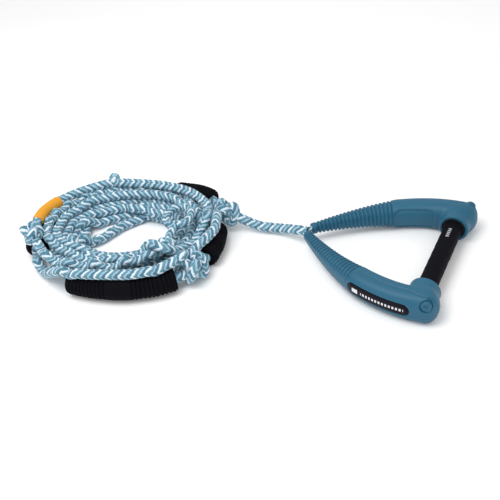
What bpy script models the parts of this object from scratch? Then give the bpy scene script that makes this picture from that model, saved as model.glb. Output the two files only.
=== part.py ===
"""Tow rope handle with its coiled rope, in metres, +Z up.

The handle lies flat on its two hubs. X runs along it, from the apex (-X) to the grip (+X), and Y runs
along the grip. The rope leaves the apex towards -X and lies coiled beside the handle, with its knots,
floats, end loop and sleeve. The handle hinges on the rope's eye at the apex, and the grip turns in the
two hubs. The origin is the bottom centre of the handle.
"""

import math

import bmesh
import bpy
from mathutils import Vector

GAP = 0.0004  # clearance between touching pieces
OVERRUN = 0.0100  # how far a cut runs past the surface that it opens

# Handle: width across the hubs, the grip's place along X, and the height of the middle plane
HANDLE_WIDTH = 0.2540
BAR_X = 0.0926
MID_HEIGHT = 0.0232

# Arms: centreline from tip to hub, in X along the handle and Y out from its middle plane
ARM_TIP = (BAR_X - 0.2095, 0.0085)
ARM_BEND = (BAR_X - 0.0880, 0.1180)
ARM_HALF_WIDTHS = (0.0070, 0.0203, 0.0204)
ARM_HALF_HEIGHTS = (0.0085, 0.0208, 0.0245)
ARM_HUB = (BAR_X + 0.0105, HANDLE_WIDTH / 2 - ARM_HALF_WIDTHS[2])
ARM_RINGS = 20
ARM_SIDES = 16
ARM_SQUARENESS = 2.6
HUB_END_LENGTH = 0.0185
HUB_END_RINGS = (0.35, 0.65, 0.87, 0.98)

# Hub: the round boss on the arm's inner side, with the socket that the grip turns in
BOSS_RADIUS = 0.0230
BOSS_FACE_Y = 0.0745
BOSS_ROOT_Y = 0.1080
BOSS_EDGE = 0.0020
SOCKET_RADIUS = 0.0180
SOCKET_DEPTH = 0.0060
BUSH_RADIUS = 0.0140
BUSH_LENGTH = 0.0160
BUSH_CLEARANCE = 0.0002
HUB_PLUG_RADIUS = 0.0080
HUB_PLUG_X = BAR_X + 0.0140
HUB_PLUG_Z = 0.0360
HUB_PLUG_Y = (0.1140, 0.1248)

# Badge: the long oval inlay on the arm's outer face, between two places along the centreline
BADGE_SPAN = (0.475, 0.905)
BADGE_STATIONS = 18
BADGE_HEIGHT = 0.0190
BADGE_DEPTH = 0.0022
BADGE_PROUD = 0.0004
BADGE_RAISE = 0.0010
BADGE_ROWS = 5
BADGE_END_REACH = 0.999  # the end sections keep a little height

# Grip
BAR_RADIUS = 0.0095
BAR_BORE_RADIUS = 0.0072
BAR_HALF_LENGTH = 0.0962
GRIP_RADIUS = 0.0143
FLANGE_RADIUS = 0.0172
FLANGE_THICKNESS = 0.0050

# Ropes
ROPE_RADIUS = 0.0080
BRIDLE_RADIUS = 0.0040
CHANNEL_RADIUS = 0.0052
BRIDLE_BEND = 0.0140
BRIDLE_BEND_Y = 0.0930
BRIDLE_LEAVES_ARM = 0.81
BRIDLE_SIDES = 8
BRIDLE_INSET = 0.10  # share of its first step that its end lies inside the arm
CHANNEL_SIDES = 10
EYE_RADIUS = 0.0085
EYE_X = ARM_TIP[0] - 0.0060

# Coil, seen from above: its own plan frame, an oval of loose turns round an oval hole
COIL_CENTRE = (BAR_X - 0.4958, -0.0940)
COIL_TURN = math.radians(17.6)
COIL_OUTER = ((0.0, 0.0090), (0.1560, 0.1150))
COIL_HOLE = ((0.0, 0.0060), (0.0630, 0.0450))
COIL_HEIGHTS = (0.0340, 0.0430)
COIL_CHAMFER = 0.0070
COIL_STATIONS = 36

# Floats: foam sleeves on the rope, on the floor under the outer turns, as plan points of the coil
FLOAT_RADIUS = 0.0190
FLOAT_BORE_RADIUS = 0.0088
FLOAT_SIDES = 16
FLOAT_RINGS = 9
FLOATS = {
    "float_front": (
        (-0.0610, -0.1180),
        (-0.0190, -0.1280),
        (0.0300, -0.1310),
        (0.0750, -0.1220),
        (0.1050, -0.1080),
    ),
    "float_right": ((0.1430, -0.0560), (0.1460, -0.0380), (0.1490, -0.0180), (0.1480, 0.0150)),
    "float_rear": ((0.1260, 0.0970), (0.1010, 0.1120), (0.0600, 0.1220)),
    "float_left": ((-0.1470, -0.0370), (-0.1510, -0.0050), (-0.1480, 0.0300)),
}

# The orange sleeve on the outer turn at the left, as points of the coil's frame
SLEEVE_POINTS = ((-0.1500, 0.0000, 0.0490), (-0.1460, 0.0300, 0.0490), (-0.1330, 0.0600, 0.0460))
SLEEVE_RADIUS = 0.0098
SLEEVE_BORE_RADIUS = 0.0084
SLEEVE_SIDES = 12
SLEEVE_RINGS = 6

# Knots: place in the coil's frame, and half sizes
KNOTS = {
    "knot_left": ((-0.1460, -0.0370, 0.0530), (0.0170, 0.0190, 0.0140)),
    "knot_right": ((0.1600, 0.0480, 0.0300), (0.0180, 0.0220, 0.0180)),
    "knot_front": ((0.1300, -0.0880, 0.0260), (0.0215, 0.0210, 0.0190)),
    "knot_inner": ((0.0820, -0.0560, 0.0420), (0.0150, 0.0150, 0.0120)),
    "knot_rear": ((-0.0490, 0.1200, 0.0490), (0.0150, 0.0100, 0.0100)),
}
KNOT_SIDES = 14
KNOT_RINGS = 7

# The loop at the rope's boat end lies on the inner turns
LOOP_CENTRE = (0.0900, 0.0100, 0.0500)
LOOP_RADIUS = 0.0200
LOOP_ROPE_RADIUS = 0.0070
LOOP_SIDES = 10
LOOP_STATIONS = 20
LOOP_STRETCH = 1.25

# The lead: from the right-hand knot to the eye, as points of the coil's frame
LEAD_POINTS = (
    (0.1800, 0.0400, 0.0260),
    (0.2000, 0.0370, 0.0170),
    (0.2200, 0.0330, 0.0120),
    (0.2420, 0.0300, 0.0110),
    (0.2640, 0.0220, 0.0150),
)
LEAD_STEPS = 18

ROUTE_STEPS = 20  # points between two route points, before they are spread evenly
SMOOTH_ANGLE = math.radians(40)
DISC_SIDES = 28


def material(name, colour, roughness, metallic=0.0):
    """A plain Principled material."""
    made = bpy.data.materials.new(name)
    made.use_nodes = True
    shader = made.node_tree.nodes["Principled BSDF"]
    shader.inputs["Base Color"].default_value = (*colour, 1.0)
    shader.inputs["Roughness"].default_value = roughness
    shader.inputs["Metallic"].default_value = metallic
    return made


def clear_scene():
    for obj in list(bpy.data.objects):
        bpy.data.objects.remove(obj)


def add_object(name, data, look=None, parent=None):
    """Links an object; its data is in world coordinates, also under a parent away from the origin."""
    obj = bpy.data.objects.new(name, data)
    bpy.context.scene.collection.objects.link(obj)
    if look:
        data.materials.append(look)
    if parent:
        obj.parent = parent
        obj.location = -Vector(parent.location)
    return obj


def loft(name, rings, closed=False, look=None, parent=None):
    """One skin over rings of equally many points, capped at both ends unless the rings close."""
    built = bmesh.new()
    rows = [[built.verts.new(point) for point in ring] for ring in rings]
    pairs = list(zip(rows, rows[1:]))
    if closed:
        pairs.append((rows[-1], rows[0]))
    else:
        built.faces.new(rows[0])
        built.faces.new(rows[-1])
    for low, high in pairs:
        count = len(low)
        for i in range(count):
            j = (i + 1) % count
            built.faces.new((low[i], low[j], high[j], high[i]))
    bmesh.ops.recalc_face_normals(built, faces=built.faces)
    mesh = bpy.data.meshes.new(name)
    built.to_mesh(mesh)
    built.free()
    mesh.shade_smooth()
    mesh.set_sharp_from_angle(angle=SMOOTH_ANGLE)
    return add_object(name, mesh, look, parent)


def helper(obj):
    """Leaves an object out of the model: it only cuts or joins."""
    obj.hide_render = True
    obj.display_type = "WIRE"
    return obj


def combine(target, other, operation):
    """Cuts a helper from a target, or joins it to the target."""
    helper(other)
    boolean = target.modifiers.new(f"{operation.lower()} {other.name}", "BOOLEAN")
    boolean.operation = operation
    boolean.solver = "EXACT"
    boolean.object = other


def circle_y(x, y, z, radius, sides=DISC_SIDES):
    """Points of a circle round an axis along Y."""
    turns = (2 * math.pi * i / sides for i in range(sides))
    return [Vector((x + radius * math.cos(turn), y, z + radius * math.sin(turn))) for turn in turns]


def rod_y(name, profile, x=BAR_X, z=MID_HEIGHT, look=None, parent=None, sides=DISC_SIDES):
    """A solid turned round an axis along Y, from (y, radius) pairs."""
    rings = [circle_y(x, y, z, radius, sides) for y, radius in profile]
    return loft(name, rings, look=look, parent=parent)


def ring_y(name, y_low, y_high, radius, bore, look=None, parent=None, edge=0.0):
    """A hollow round piece on the grip's axis, open at both ends."""
    profile = [
        (y_low, bore),
        (y_low, radius - edge),
        (y_low + edge, radius),
        (y_high - edge, radius),
        (y_high, radius - edge),
        (y_high, bore),
    ]
    if edge == 0:
        profile = [(y_low, bore), (y_low, radius), (y_high, radius), (y_high, bore)]
    rings = [circle_y(BAR_X, y, MID_HEIGHT, r) for y, r in profile]
    return loft(name, rings, closed=True, look=look, parent=parent)


def smooth_route(points, steps):
    """Evenly spread points on the smooth (Catmull-Rom) curve through the given ones."""
    knots = [Vector(point) for point in points]
    knots = [2 * knots[0] - knots[1], *knots, 2 * knots[-1] - knots[-2]]
    dense = []
    for a, b, c, d in zip(knots, knots[1:], knots[2:], knots[3:]):
        for i in range(ROUTE_STEPS):
            t = i / ROUTE_STEPS
            bend = (2 * a - 5 * b + 4 * c - d) * t**2 + (3 * b - a - 3 * c + d) * t**3
            dense.append(0.5 * (2 * b + (c - a) * t + bend))
    dense.append(knots[-2])
    along = [0.0]
    for low, high in zip(dense, dense[1:]):
        along.append(along[-1] + (high - low).length)
    route = []
    place = 0
    for i in range(steps + 1):
        wanted = along[-1] * i / steps
        while place < len(dense) - 2 and along[place + 1] < wanted:
            place += 1
        share = (wanted - along[place]) / (along[place + 1] - along[place])
        route.append(dense[place].lerp(dense[place + 1], min(1.0, share)))
    return route


def directions(route):
    """The direction of a route at each of its points."""
    ends = [route[0], *route, route[-1]]
    return [(after - before).normalized() for before, after in zip(ends, ends[2:])]


def tube_rings(route, radius, sides, grow=0.0):
    """Circles across a route that stays near level. Growing also makes it longer at both ends."""
    rings = []
    ways = directions(route)
    for i, (place, way) in enumerate(zip(route, ways)):
        across = way.cross(Vector((0, 0, 1))).normalized()
        upward = across.cross(way)
        shift = way * grow * ((i == len(route) - 1) - (i == 0))
        ring = []
        for k in range(sides):
            turn = 2 * math.pi * (k + 0.5) / sides
            ring.append(place + shift + (radius + grow) * (across * math.cos(turn) + upward * math.sin(turn)))
        rings.append(ring)
    return rings


def sleeve(name, route, radius, bore, sides, look):
    """A sleeve with an open bore along a route."""
    outer = tube_rings(route, radius, sides)
    inner = tube_rings(route, bore, sides)
    return loft(name, [*outer, *reversed(inner)], closed=True, look=look)


# Handle


def between(values, share):
    """A value read from three: at the tip, halfway and at the hub."""
    if share < 0.5:
        return values[0] + (values[1] - values[0]) * share * 2
    return values[1] + (values[2] - values[1]) * (share * 2 - 1)


def arm_place(share, side):
    """Place, outward direction and half sizes of an arm's section. The share runs from tip to hub."""
    tip, bend, hub = (Vector((x, y, 0)) for x, y in (ARM_TIP, ARM_BEND, ARM_HUB))
    place = tip * (1 - share) ** 2 + bend * 2 * share * (1 - share) + hub * share**2
    way = ((bend - tip) * (1 - share) + (hub - bend) * share).normalized()
    outward = Vector((-way.y, way.x, 0))
    place.z = MID_HEIGHT
    mirror = Vector((1, side, 1))
    half_width = between(ARM_HALF_WIDTHS, share)
    half_height = between(ARM_HALF_HEIGHTS, share)
    return place * mirror, way * mirror, outward * mirror, half_width, half_height


def oval_section(place, outward, half_width, half_height):
    """A squarish oval section, flat where it would pass below the floor."""
    ring = []
    power = 2 / ARM_SQUARENESS
    for k in range(ARM_SIDES):
        turn = 2 * math.pi * (k + 0.5) / ARM_SIDES
        reach = math.copysign(abs(math.cos(turn)) ** power, math.cos(turn))
        rise = math.copysign(abs(math.sin(turn)) ** power, math.sin(turn))
        point = place + outward * reach * half_width
        point.z = max(0.0, point.z + rise * half_height)
        ring.append(point)
    return ring


def arm_rings(side):
    rings = []
    for i in range(ARM_RINGS + 1):
        place, _, outward, half_width, half_height = arm_place(i / ARM_RINGS, side)
        rings.append(oval_section(place, outward, half_width, half_height))
    place, way, outward, half_width, half_height = arm_place(1.0, side)
    for reach in HUB_END_RINGS:
        shrink = math.sqrt(1 - reach**2)
        centre = place + way * reach * HUB_END_LENGTH
        rings.append(oval_section(centre, outward, half_width * shrink, half_height * shrink))
    return rings


def channel_route(side):
    """The rope's way through one arm: along its centreline, then round into the bar."""
    straight_steps, turn_steps = 12, 5
    route = []
    for i in range(straight_steps + 1):
        route.append(arm_place(BRIDLE_LEAVES_ARM * i / straight_steps, side)[0])
    for i in range(turn_steps + 1):
        turn = math.pi / 2 * (1 - i / turn_steps)
        x = BAR_X - BRIDLE_BEND * (1 - math.cos(turn))
        y = BRIDLE_BEND_Y + BRIDLE_BEND * math.sin(turn)
        route.append(Vector((x, y * side, MID_HEIGHT)))
    return route


def badge_rings(side, proud, grow=0.0):
    """Sections of the badge, or with a growth those of its pocket."""
    start, end = BADGE_SPAN
    middle, half_span = (start + end) / 2, (end - start) / 2
    half_length = (arm_place(end, side)[0] - arm_place(start, side)[0]).length / 2
    full_half = BADGE_HEIGHT / 2 + grow
    rings = []
    for i in range(BADGE_STATIONS + 1):
        reach = -BADGE_END_REACH * math.cos(math.pi * i / BADGE_STATIONS)
        share = middle + half_span * reach * (1 + grow / half_length)
        place, _, outward, half_width, half_height = arm_place(share, side)
        from_end = (half_length + grow) * (1 - abs(reach))
        half = full_half
        if from_end < full_half:
            half = math.sqrt(full_half**2 - (full_half - from_end) ** 2)
        outer, inner = [], []
        for k in range(BADGE_ROWS):
            rise = BADGE_RAISE + half * (2 * k / (BADGE_ROWS - 1) - 1)
            skin = half_width * (1 - abs(rise / half_height) ** ARM_SQUARENESS) ** (1 / ARM_SQUARENESS)
            point = place + Vector((0, 0, rise))
            outer.append(point + outward * (skin + proud))
            inner.append(point + outward * (skin - BADGE_DEPTH - grow))
        rings.append([*outer, *reversed(inner)])
    return rings


def make_arm(name, side, look, parent):
    """One moulded arm: loft and boss joined, then the socket, bush pocket, channel and pockets cut."""
    arm = loft(name, arm_rings(side), look=look, parent=parent)
    boss = rod_y(
        f"{name} boss",
        [
            (side * BOSS_FACE_Y, BOSS_RADIUS - BOSS_EDGE),
            (side * (BOSS_FACE_Y + BOSS_EDGE), BOSS_RADIUS),
            (side * BOSS_ROOT_Y, BOSS_RADIUS),
        ],
    )
    combine(arm, boss, "UNION")
    socket_floor = BOSS_FACE_Y + SOCKET_DEPTH
    bore = rod_y(
        f"{name} bore",
        [
            (side * (BOSS_FACE_Y - OVERRUN), SOCKET_RADIUS),
            (side * socket_floor, SOCKET_RADIUS),
            (side * socket_floor, BUSH_RADIUS + GAP),
            (side * (socket_floor + BUSH_LENGTH + 2 * GAP), BUSH_RADIUS + GAP),
        ],
    )
    combine(arm, bore, "DIFFERENCE")
    route = channel_route(side)
    way = (route[0] - route[1]).normalized()
    opened = [route[0] + way * OVERRUN, *route]
    channel = loft(f"{name} channel", tube_rings(opened, CHANNEL_RADIUS, CHANNEL_SIDES))
    combine(arm, channel, "DIFFERENCE")
    pocket = loft(f"{name} badge pocket", badge_rings(side, OVERRUN, GAP))
    combine(arm, pocket, "DIFFERENCE")
    plug_hole = rod_y(
        f"{name} plug hole",
        [
            (side * (HUB_PLUG_Y[0] - GAP), HUB_PLUG_RADIUS + GAP),
            (side * (HUB_PLUG_Y[1] + OVERRUN), HUB_PLUG_RADIUS + GAP),
        ],
        x=HUB_PLUG_X,
        z=HUB_PLUG_Z,
    )
    combine(arm, plug_hole, "DIFFERENCE")
    return arm


def make_handle(looks, pivot):
    for word, side in (("left", -1), ("right", 1)):
        make_arm(f"arm_{word}", side, looks["moulding"], pivot)
        loft(f"badge_{word}", badge_rings(side, BADGE_PROUD), look=looks["badge"], parent=pivot)
        rod_y(
            f"hub_plug_{word}",
            [
                (side * HUB_PLUG_Y[0], HUB_PLUG_RADIUS),
                (side * (HUB_PLUG_Y[1] - 0.001), HUB_PLUG_RADIUS),
                (side * HUB_PLUG_Y[1], HUB_PLUG_RADIUS - 0.001),
            ],
            x=HUB_PLUG_X,
            z=HUB_PLUG_Z,
            look=looks["moulding"],
            parent=pivot,
            sides=20,
        )
        low = BOSS_FACE_Y + SOCKET_DEPTH + GAP
        ends = sorted((side * low, side * (low + BUSH_LENGTH)))
        ring_y(f"socket_bush_{word}", *ends, BUSH_RADIUS, BAR_RADIUS + BUSH_CLEARANCE, looks["bush"], pivot)
    make_bridle(looks["bridle"], pivot)


def make_bridle(look, pivot):
    """The bridle's core: in at one arm's tip, through the bar, and out at the other arm's tip."""
    half = channel_route(1)
    half[0] = half[0].lerp(half[1], BRIDLE_INSET)
    middle = [Vector((BAR_X, BRIDLE_BEND_Y * reach, MID_HEIGHT)) for reach in (0.75, 0.38, 0, -0.38, -0.75)]
    other = [Vector((point.x, -point.y, point.z)) for point in reversed(half)]
    route = [*half, *middle, *other]
    loft("bridle_rope", tube_rings(route, BRIDLE_RADIUS, BRIDLE_SIDES), look=look, parent=pivot)


def make_grip(looks, spin):
    ring_y("bar_tube", -BAR_HALF_LENGTH, BAR_HALF_LENGTH, BAR_RADIUS, BAR_BORE_RADIUS, looks["bar"], spin)
    flange_face = BOSS_FACE_Y + SOCKET_DEPTH - 2 * GAP
    flange_back = flange_face - FLANGE_THICKNESS
    grip_end = flange_back - GAP
    ring_y("grip_sleeve", -grip_end, grip_end, GRIP_RADIUS, BAR_RADIUS + GAP, looks["foam"], spin)
    for word, side in (("left", -1), ("right", 1)):
        ends = sorted((side * flange_back, side * flange_face))
        name = f"grip_flange_{word}"
        ring_y(name, *ends, FLANGE_RADIUS, BAR_RADIUS + GAP, looks["flange"], spin, edge=0.001)


# Rope


def coil_point(u, v, z):
    """World place of a point in the coil's own plan frame."""
    x = COIL_CENTRE[0] + u * math.cos(COIL_TURN) - v * math.sin(COIL_TURN)
    y = COIL_CENTRE[1] + u * math.sin(COIL_TURN) + v * math.cos(COIL_TURN)
    return Vector((x, y, z))


def oval_point(oval, turn):
    (centre_u, centre_v), (half_u, half_v) = oval
    return Vector((centre_u + half_u * math.cos(turn), centre_v + half_v * math.sin(turn)))


def coil_rings():
    """Chamfered sections of the coil's outer shape, lower in front and higher behind."""
    rings = []
    for i in range(COIL_STATIONS):
        turn = 2 * math.pi * i / COIL_STATIONS
        hole = oval_point(COIL_HOLE, turn)
        outer = oval_point(COIL_OUTER, turn)
        width = (outer - hole).length
        behind = 0.5 + 0.5 * math.sin(turn)
        height = COIL_HEIGHTS[0] + (COIL_HEIGHTS[1] - COIL_HEIGHTS[0]) * behind
        edge = COIL_CHAMFER
        profile = (
            (edge, 0.0),
            (width - edge, 0.0),
            (width, edge),
            (width, height - edge),
            (width - edge, height),
            (edge, height),
            (0.0, height - edge),
            (0.0, edge),
        )
        ring = []
        for reach, rise in profile:
            place = hole.lerp(outer, reach / width)
            ring.append(coil_point(place.x, place.y, rise))
        rings.append(ring)
    return rings


def knot_rings(centre, half_sizes, grow=0.0, placed=None):
    """A rounded lump in the coil's frame, or round a world place, kept above the floor."""
    rings = []
    for i in range(1, KNOT_RINGS + 1):
        tilt = math.pi * i / (KNOT_RINGS + 1)
        ring = []
        for k in range(KNOT_SIDES):
            turn = 2 * math.pi * k / KNOT_SIDES
            u = (half_sizes[0] + grow) * math.sin(tilt) * math.cos(turn)
            v = (half_sizes[1] + grow) * math.sin(tilt) * math.sin(turn)
            z = max(GAP, centre[2] - (half_sizes[2] + grow) * math.cos(tilt))
            if placed:
                ring.append(Vector((placed.x + u, placed.y + v, z)))
            else:
                ring.append(coil_point(centre[0] + u, centre[1] + v, z))
        rings.append(ring)
    return rings


def loop_rings(grow=0.0):
    """The boat-end loop: a ring of rope lying level."""
    rings = []
    for i in range(LOOP_STATIONS):
        turn = 2 * math.pi * i / LOOP_STATIONS
        ring = []
        for k in range(LOOP_SIDES):
            round_rope = 2 * math.pi * k / LOOP_SIDES
            reach = LOOP_RADIUS + (LOOP_ROPE_RADIUS + grow) * math.cos(round_rope)
            u = LOOP_CENTRE[0] + reach * math.cos(turn)
            v = LOOP_CENTRE[1] + LOOP_STRETCH * reach * math.sin(turn)
            z = LOOP_CENTRE[2] + (LOOP_ROPE_RADIUS + grow) * math.sin(round_rope)
            ring.append(coil_point(u, v, z))
        rings.append(ring)
    return rings


def make_rope(looks):
    coil = loft("rope_coil", coil_rings(), closed=True, look=looks["rope"])
    for name, points in FLOATS.items():
        route = smooth_route([coil_point(u, v, FLOAT_RADIUS) for u, v in points], FLOAT_RINGS)
        sleeve(name, route, FLOAT_RADIUS, FLOAT_BORE_RADIUS, FLOAT_SIDES, looks["foam"])
        cutter = loft(f"{name} room", tube_rings(route, FLOAT_RADIUS, FLOAT_SIDES, 2 * GAP))
        combine(coil, cutter, "DIFFERENCE")
    route = smooth_route([coil_point(*point) for point in SLEEVE_POINTS], SLEEVE_RINGS)
    sleeve("loop_sleeve", route, SLEEVE_RADIUS, SLEEVE_BORE_RADIUS, SLEEVE_SIDES, looks["sleeve"])
    cutter = loft("sleeve room", tube_rings(route, SLEEVE_RADIUS, SLEEVE_SIDES, 2 * GAP))
    combine(coil, cutter, "DIFFERENCE")
    for name, (centre, half_sizes) in KNOTS.items():
        loft(name, knot_rings(centre, half_sizes), look=looks["rope"])
        cutter = loft(f"{name} room", knot_rings(centre, half_sizes, 2 * GAP))
        combine(coil, cutter, "DIFFERENCE")
    loft("boat_loop", loop_rings(), closed=True, look=looks["rope"])
    cutter = loft("loop room", loop_rings(2 * GAP), closed=True)
    combine(coil, cutter, "DIFFERENCE")
    eye = Vector((EYE_X, 0, MID_HEIGHT))
    loft("bridle_eye", knot_rings(eye, (EYE_RADIUS,) * 3, placed=eye), look=looks["rope"])


def make_lead(look):
    """The stretch of rope from the right-hand knot to the eye, as a bevelled curve."""
    points = [coil_point(*point) for point in LEAD_POINTS]
    points.append(Vector((EYE_X - EYE_RADIUS - 3 * GAP, 0, MID_HEIGHT)))
    curve = bpy.data.curves.new("rope_lead", "CURVE")
    curve.dimensions = "3D"
    curve.bevel_depth = ROPE_RADIUS
    curve.bevel_resolution = 2
    curve.use_fill_caps = True
    route = smooth_route(points, LEAD_STEPS)
    spline = curve.splines.new("POLY")
    spline.points.add(len(route) - 1)
    for target, place in zip(spline.points, route):
        target.co = (*place, 1.0)
    add_object("rope_lead", curve, look)


def main():
    clear_scene()
    looks = {
        "moulding": material("teal moulding", (0.035, 0.135, 0.205), 0.45),
        "badge": material("black badge", (0.008, 0.008, 0.012), 0.35),
        "foam": material("black foam", (0.008, 0.008, 0.010), 0.75),
        "flange": material("black flange", (0.010, 0.010, 0.012), 0.50),
        "bush": material("white bush", (0.700, 0.700, 0.680), 0.40),
        "bar": material("aluminium bar", (0.700, 0.710, 0.720), 0.35, 1.0),
        "rope": material("braided rope", (0.300, 0.450, 0.520), 0.80),
        "bridle": material("bridle core", (0.500, 0.600, 0.640), 0.80),
        "sleeve": material("orange sleeve", (0.780, 0.340, 0.030), 0.70),
    }
    pivot = add_object("handle_lift axis", None)
    pivot.location = (EYE_X, 0, MID_HEIGHT)
    spin = add_object("grip_spin axis", None)
    spin.location = (BAR_X, 0, MID_HEIGHT)
    make_rope(looks)
    make_lead(looks["rope"])
    make_handle(looks, pivot)
    make_grip(looks, spin)


main()
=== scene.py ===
"""Looks of the tow rope handle, in metres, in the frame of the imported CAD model.

The rope's turns are laid by a loop round the coil's oval and let down onto each other, then swept with a
braided skin. The arms, grip, floats, sleeve and knots are built by functions of their own, each at the
place of its CAD node.
"""

import itertools
import math

import bpy
import numpy as np
from mathutils import Matrix, Vector


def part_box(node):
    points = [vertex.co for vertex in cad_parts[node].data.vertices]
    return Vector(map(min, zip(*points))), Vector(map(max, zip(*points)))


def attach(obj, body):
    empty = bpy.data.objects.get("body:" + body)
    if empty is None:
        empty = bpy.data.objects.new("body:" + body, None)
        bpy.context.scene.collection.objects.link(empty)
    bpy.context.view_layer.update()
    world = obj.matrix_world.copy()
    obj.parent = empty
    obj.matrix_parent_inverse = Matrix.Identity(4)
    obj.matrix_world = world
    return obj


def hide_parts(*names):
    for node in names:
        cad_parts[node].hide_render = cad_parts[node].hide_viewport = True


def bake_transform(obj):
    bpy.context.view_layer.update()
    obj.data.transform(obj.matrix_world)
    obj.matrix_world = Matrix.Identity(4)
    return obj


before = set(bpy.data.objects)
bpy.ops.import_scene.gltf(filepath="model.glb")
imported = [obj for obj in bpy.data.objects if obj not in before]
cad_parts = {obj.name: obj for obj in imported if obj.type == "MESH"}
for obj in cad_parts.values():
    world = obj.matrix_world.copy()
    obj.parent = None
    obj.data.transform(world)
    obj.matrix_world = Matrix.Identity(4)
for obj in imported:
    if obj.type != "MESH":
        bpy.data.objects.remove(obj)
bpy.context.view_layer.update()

# The arms' sides, with the sign of Y on each
SIDES = (("left", -1), ("right", 1))

# Handle, as the CAD model has it
BAR_X = 0.0926
MID_HEIGHT = 0.0232
ARM_TIP = (BAR_X - 0.2095, 0.0085)
EYE_X = ARM_TIP[0] - 0.006
EYE_RADIUS = 0.0085
ARM_BEND = (BAR_X - 0.088, 0.118)
ARM_HUB = (BAR_X + 0.0105, 0.1066)
ARM_HALF_WIDTHS = (0.007, 0.0203, 0.0204)
ARM_HALF_HEIGHTS = (0.0085, 0.0208, 0.0245)
ARM_SQUARENESS = 2.6
HUB_END_LENGTH = 0.0185
BOSS_RADIUS = 0.023
BOSS_FACE_Y = 0.0745
BOSS_ROOT_Y = 0.108
BOSS_EDGE = 0.002
SOCKET_RADIUS = 0.018
SOCKET_DEPTH = 0.006
BUSH_POCKET_RADIUS = 0.0144
BUSH_POCKET_DEPTH = 0.0168
HUB_PLUG_RADIUS = 0.008
HUB_PLUG_X = BAR_X + 0.014
HUB_PLUG_Z = 0.036
HUB_PLUG_Y = (0.114, 0.1248)
CHANNEL_RADIUS = 0.0052
BADGE_RUN = (0.135, 0.229)
BADGE_HEIGHT = 0.019
BADGE_DEPTH = 0.0022
BADGE_PROUD = 0.0004
BADGE_RAISE = 0.001
BADGE_GAP = 0.0004
BADGE_RINGS = 10
BADGE_SIDES = 120
BADGE_MARK_PITCH = 0.0049
BAR_RADIUS = 0.0095
GRIP_RADIUS = 0.0143
FLANGE_RADIUS = 0.0172
FLANGE_THICKNESS = 0.005

# Arm details: ribs, finger panel, and the grid that the surface is read on
RIB_PITCH = 0.0064
RIB_DEPTH = 0.0023
RIBS_END = 0.47
PANEL_RUN = (0.133, 0.203)
PANEL_HALF_HEIGHT = 0.0165
PANEL_CORNER = 0.012
PANEL_DEPTH = 0.002
ARM_GRID = 0.00075

# Rope
ROPE_RADIUS = 0.008
ROPE_SIDES = 24
RING_STEP = 0.0009
MOST_TRIANGLES = 196000
BRAID_COLUMNS = 4
BRAID_RELIEF = 0.0013
STRAND_PITCH = 0.0048
STRAND_SLANT = 2.2
KNOT_ROPE_RADIUS = 0.0076
KNOT_POINTS = 96
SMALL_KNOT = 0.016
BIG_KNOT_SPREAD = 1.2
KNOT_RING_STEP = 0.001
LOOP_ROPE_RADIUS = 0.007
FLOAT_BORE = 0.0086
FLOAT_RIBBED_SHARE = 0.4
FLOAT_RIB_PITCH = 0.0062
FLOAT_RIB_DEPTH = 0.0024
FLOAT_EDGE = 0.004

# Coil: its plan frame, as the CAD model has it
COIL_CENTRE = (BAR_X - 0.4958, -0.094)
COIL_TURN = math.radians(17.6)

FLOAT_RADIUS = 0.019
FLOATS = {
    "float_front": ((-0.061, -0.118), (-0.019, -0.128), (0.03, -0.131), (0.075, -0.122), (0.105, -0.108)),
    "float_right": ((0.143, -0.056), (0.146, -0.038), (0.149, -0.018), (0.148, 0.015)),
    "float_rear": ((0.126, 0.097), (0.101, 0.112), (0.06, 0.122)),
    "float_left": ((-0.147, -0.037), (-0.151, -0.005), (-0.148, 0.03)),
}
SLEEVE_POINTS = ((-0.15, 0.0, 0.049), (-0.146, 0.03, 0.049), (-0.133, 0.06, 0.046))
SLEEVE_RADIUS = 0.0098

# Knots: centre, half sizes, how far its lobes are turned, and its place along the coil in turns
KNOTS = {
    "knot_left": ((-0.146, -0.037, 0.053), (0.017, 0.019, 0.014), 0.3, 10.545),
    "knot_right": ((0.16, 0.048, 0.03), (0.018, 0.022, 0.018), 1.1, 0.045),
    "knot_front": ((0.13, -0.088, 0.026), (0.0215, 0.021, 0.019), 2.2, 1.89),
    "knot_inner": ((0.082, -0.056, 0.042), (0.015, 0.015, 0.012), 1.6, 10.9),
    "knot_rear": ((-0.049, 0.12, 0.049), (0.015, 0.01, 0.01), 1.8, 10.31),
}
LOOP_CENTRE = (0.09, 0.01, 0.05)
LOOP_RADIUS = 0.02
LOOP_STRETCH = 1.25
LEAD_POINTS = (
    (0.18, 0.04, 0.026), (0.2, 0.037, 0.017), (0.22, 0.033, 0.012),
    (0.242, 0.03, 0.011), (0.264, 0.022, 0.015),
)

# Turns of the coil: half length, half width, shift right, shift away, and start height,
# read at the right-hand side of each turn, from the handle's end of the rope
TURNS = (
    (0.15, 0.116, 0.002, 0.0, 0.012),
    (0.15, 0.114, 0.002, -0.006, 0.03),
    (0.13, 0.098, 0.0, 0.003, 0.012),
    (0.112, 0.088, 0.0, 0.004, 0.012),
    (0.094, 0.06, 0.0, 0.008, 0.012),
    (0.137, 0.094, 0.0, 0.002, 0.028),
    (0.12, 0.082, 0.0, 0.002, 0.028),
    (0.1, 0.066, 0.002, 0.006, 0.03),
    (0.13, 0.092, 0.002, 0.004, 0.04),
    (0.116, 0.086, 0.002, 0.008, 0.042),
    (0.136, 0.092, 0.004, 0.006, 0.052),
    (0.12, 0.094, 0.004, 0.0, 0.064),
)
GUIDES_PER_TURN = 12

# How the rope is let down: point spacing, neighbours that don't push, steps, drop and pulls per step
SPACING = 0.008
NEIGHBOURS = 7
SETTLE_STEPS = 420
SETTLE_DROP = 0.00035
PLAN_PULL = 0.03
BEND_PULL = 0.2
LENGTH_PULL = 0.25


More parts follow.
